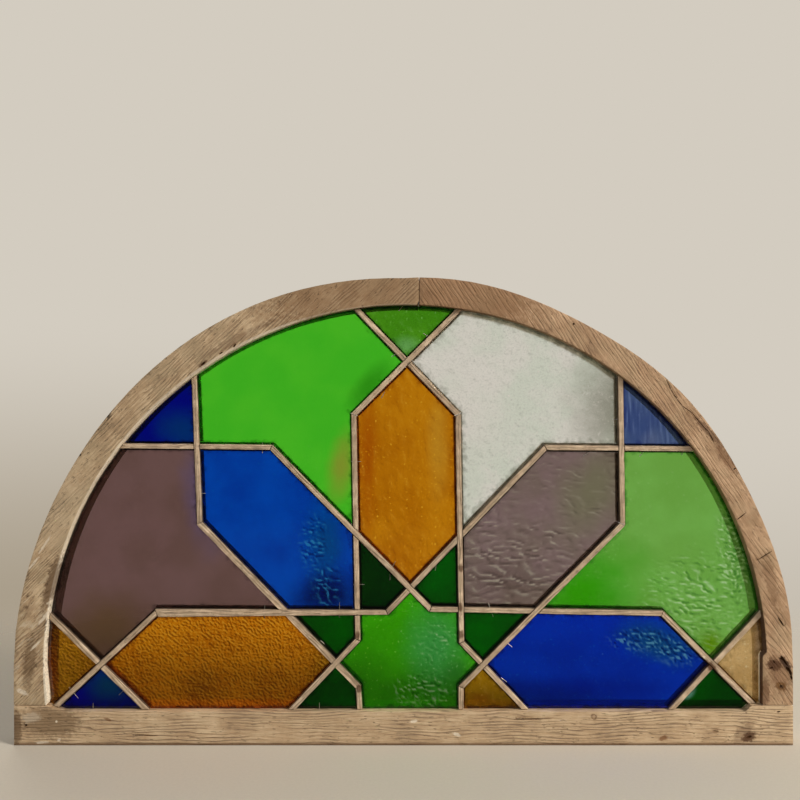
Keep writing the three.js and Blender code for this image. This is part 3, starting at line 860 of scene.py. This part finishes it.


# Each pane's two tints, its deepest and palest, which also paint its shade and highlights, its front
# and how rough it feels, and its patches, a few of them painted reflections: a tint, its share, its
# middle, its radii in millimetres and its turn.
bottle = ((0, 12, 0), (20, 110, 30), smooth, 0.02)
panes = {
    "pane_top_triangle": (
        (70, 134, 20), (58, 122, 14), (24, 66, 4), (110, 165, 80), frosted, 0.05,
        [((98, 152, 84), 0.7, (4, 462), (23, 16), 0)],
    ),
    "pane_upper_left_field": (
        (66, 168, 30), (58, 164, 28), (14, 84, 4), (96, 180, 70), smooth, 0.04,
        [((130, 124, 42), 0.75, (-72, 322), (23, 57), -8), ((34, 124, 12), 0.8, (-39, 416), (52, 20), 50)],
    ),
    "pane_upper_right_field": (
        (200, 202, 188), (190, 192, 176), (120, 120, 104), (222, 224, 212), frosted, 0.22,
        [((128, 126, 110), 0.9, (250, 388), (78, 104), 4), ((206, 208, 196), 0.6, (70, 380), (78, 78), 0)],
    ),
    "pane_left_shoulder": (
        (0, 4, 102), (0, 10, 90), (0, 0, 44), (20, 70, 140), smooth, 0.03,
        [((0, 40, 94), 0.9, (-256, 362), (34, 46), 60)],
    ),
    "pane_right_shoulder": (
        (50, 66, 108), (62, 78, 110), (24, 32, 84), (112, 128, 164), drawn, 0.06,
        [((84, 94, 120), 0.5, (290, 352), (18, 16), 0)],
    ),
    "pane_top_hexagon": (
        (170, 108, 6), (156, 92, 2), (104, 34, 0), (206, 150, 40), seedy, 0.05,
        [((146, 70, 0), 0.8, (-42, 330), (17, 124), 0), ((176, 130, 34), 0.6, (40, 345), (18, 91), 0)],
    ),
    "pane_upper_left_hexagon": (
        (0, 58, 148), (0, 48, 136), (0, 6, 72), (40, 120, 160), edge_rippled, 0.03,
        # The teal patch of this pane is a painted reflection.
        [((0, 62, 94), 0.6, (-92, 232), (34, 78), 0), ((0, 6, 56), 0.95, (-88, 172), (56, 42), 0)],
    ),
    "pane_upper_right_hexagon": (
        (112, 92, 90), (104, 88, 80), (58, 46, 38), (152, 146, 128), crinkled, 0.07,
        [((102, 99, 74), 0.85, (218, 290), (52, 91), -30), ((84, 70, 60), 0.6, (120, 190), (78, 34), 0)],
    ),
    "pane_lower_left_field": (
        (96, 71, 67), (90, 66, 60), (40, 26, 22), (128, 110, 104), smooth, 0.03,
        [((82, 60, 34), 0.8, (-352, 130), (78, 60), 30), ((74, 68, 108), 0.9, (-214, 300), (54, 100), 0)],
    ),
    "pane_lower_right_field": (
        (104, 158, 68), (98, 150, 60), (36, 98, 22), (170, 206, 150), pool_rippled, 0.04,
        [((44, 138, 2), 1.0, (205, 172), (120, 96), 20), ((84, 128, 0), 1.0, (358, 114), (22, 24), 0),
         ((84, 128, 56), 0.75, (398, 210), (32, 104), 14)],
    ),
    "pane_left_upper_kite": ((0, 30, 2), (2, 36, 2), *bottle, []),
    "pane_right_upper_kite": ((0, 74, 4), (2, 58, 2), *bottle, []),
    "pane_left_side_kite": ((0, 70, 0), (2, 58, 2), *bottle, []),
    "pane_right_side_kite": ((0, 82, 2), (2, 66, 4), *bottle, []),
    "pane_left_lower_kite": ((0, 84, 4), (2, 64, 2), *bottle, []),
    "pane_right_lower_kite": (
        (158, 116, 8), (138, 100, 4), (70, 36, 0), (196, 160, 70), seedy, 0.05,
        [((150, 86, 2), 0.6, (88, 52), (26, 10), 0)],
    ),
    "pane_half_star": (
        (52, 150, 4), (46, 138, 2), (12, 74, 4), (176, 204, 160), star_rippled, 0.04,
        [((54, 140, 66), 0.85, (38, 110), (52, 73), 0), ((34, 104, 30), 0.6, (62, 78), (23, 39), 0)],
    ),
    "pane_left_hexagon": (
        (180, 109, 5), (166, 95, 2), (92, 40, 2), (222, 150, 40), hammered, 0.05,
        [((118, 84, 6), 0.75, (-82, 92), (46, 60), 0), ((120, 62, 2), 0.6, (-236, 60), (40, 36), 40)],
    ),
    "pane_right_hexagon": (
        (0, 40, 158), (0, 34, 148), (0, 0, 62), (84, 150, 176), corner_rippled, 0.03,
        [((6, 62, 98), 0.8, (298, 116), (75, 34), -20), ((0, 14, 116), 0.6, (210, 62), (143, 23), 0)],
    ),
    "pane_left_corner": (
        (144, 97, 5), (128, 82, 2), (84, 36, 2), (190, 130, 40), hammered, 0.05,
        [((124, 58, 4), 0.8, (-408, 88), (8, 57), 0)],
    ),
    "pane_right_corner": (
        (184, 153, 102), (170, 138, 88), (110, 84, 44), (222, 204, 160), frosted, 0.12,
        [((170, 156, 140), 0.7, (416, 110), (10, 65), 0)],
    ),
    "pane_left_low_triangle": (
        (0, 0, 128), (0, 16, 104), (0, 0, 50), (40, 100, 150), smooth, 0.03,
        [((0, 58, 96), 0.9, (-346, 66), (34, 26), 0)],
    ),
    "pane_right_low_triangle": (
        (0, 70, 2), (0, 52, 2), (0, 14, 0), (60, 130, 110), smooth, 0.02,
        # Both pale grey-blue patches of this pane are painted reflections.
        [((96, 140, 124), 0.8, (356, 86), (12, 6), 30), ((90, 140, 124), 1.0, (332, 58), (16, 9), 45)],
    ),
}
rippled_cell = 0.0022
worked_cells = {hammered: 0.0013, seedy: 0.002, frosted: 0.0018, drawn: 0.0018, smooth: 0.004}
rows_share = 0.7
frost_share = 0.6
rim_dirt_and_shade_share = 0.65
for node, (tint, second, deep, bright, worked, roughness, patches) in panes.items():
    calm = worked is smooth
    cell = worked_cells.get(worked, rippled_cell)
    depth = 0.00008 if calm else 0.00032
    contrast = 0.06 if calm else 0.22
    fold_share = 0.25 if calm else 0.6
    crest_share = 0.15 if calm else 0.5
    seed_share = 0.85 if worked in (seedy, frosted, hammered, star_rippled) else 0.3
    rim_reach = 0.02 if roughness > 0.1 else 0.012
    shape = pane_shape(node, cell, depth, worked, rim_reach)
    finish = glass("glass_of_" + node, tint, second, deep, bright, contrast, roughness)
    for colour, share, middle, radii, turn in patches:
        patch(finish, colour, share, middle, radii, turn)
    # Painted shade in the folds, painted highlights on the crests, and pale painted glints on the seeds.
    finish.colour = finish.blend(finish.folds * fold_share, finish.colour, finish.deep)
    finish.colour = finish.blend(finish.crests * crest_share, finish.colour, finish.bright)
    finish.colour = finish.blend(finish.seeds * seed_share, finish.colour, finish.bright)
    if worked in (seedy, frosted):
        finish.colour = finish.blend(rows_of_seeds(finish) * rows_share, finish.colour, finish.bright)
    if worked is frosted:
        finish.colour = finish.blend(frost(finish) * frost_share, finish.colour, finish.deep)
    finish.colour = finish.blend(finish.dirt * rim_dirt_and_shade_share, finish.colour, finish.deep)
    piece = piece_from(shape, "sheet_" + node.removeprefix("pane_"), coat(finish))
    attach(piece, "root")
    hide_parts(node)
    next(s["material_slot"] for s in frame["record"]["subparts"] if s["node"] == node)


# Sprigs. Small cut steel pins without heads, pushed into the bars and the frame in front of the
# glass; each lies on a pane and shows a few millimetres. Places are in millimetres.
sprig_steel = Finish("sprig_steel", {"Metallic": 1.0, "Specular IOR Level": 0.5})
steel_grain = sprig_steel.noise(sprig_steel.place, 900.0)
sprig_steel.colour = sprig_steel.blend(steel_grain, paint(150, 138, 122), paint(226, 220, 208))
sprig_steel.feed(sprig_steel.shader.inputs["Roughness"], 0.3 + 0.35 * steel_grain)
coat(sprig_steel)

sprig_radius = 0.00055
sprig_taper = 0.45
glass_front_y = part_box("pane_top_hexagon")[0].y
sprigs = [
    (-164.3, 342.8, 12, 90), (-55.3, 327.0, 12, 0), (-23.8, 404.5, 8, 60), (-384.1, 57.7, 17, -50),
    (-361.4, 41.4, 9, 90), (-328.8, 57.7, 7, 45), (-74.6, 154.3, 18, 90), (-97.9, 41.4, 10, 90),
    (-161.6, 151.9, 15, 90), (-94.2, 116.4, 6, -40), (-51.8, 183.9, 13, 0), (-15.7, 192.7, 7, 90),
    (-11.0, 207.8, 7, 60), (37.5, 203.7, 7, 80), (123.4, 113.5, 8, -40), (117.0, 72.8, 8, -35),
    (101.5, 154.3, 17, -70), (213.0, 335.8, 10, 35), (-11.3, 450.6, 6, 30), (26.0, 474.4, 7, -35),
    (-2.6, 505.8, 9, 50), (-233.9, 289.9, 7, 0), (277.1, 335.8, 7, 50), (325.4, 338.2, 7, 60),
    (247.4, 376.1, 6, 10),
]
for number, (x, z, length, turn) in enumerate(sprigs, 1):
    shape = bmesh.new()
    place = Matrix.Translation((x / 1000, glass_front_y - sprig_radius, z / 1000))
    lie = Matrix.Rotation(-math.radians(turn), 4, "Y") @ Matrix.Rotation(math.pi / 2, 4, "Y")
    bmesh.ops.create_cone(
        shape,
        cap_ends=True,
        segments=8,
        radius1=sprig_radius,
        radius2=sprig_radius * sprig_taper,
        depth=length / 1000,
        matrix=place @ lie,
    )
    piece = piece_from(shape, f"sprig_{number:02d}", sprig_steel)
    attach(piece, "root")
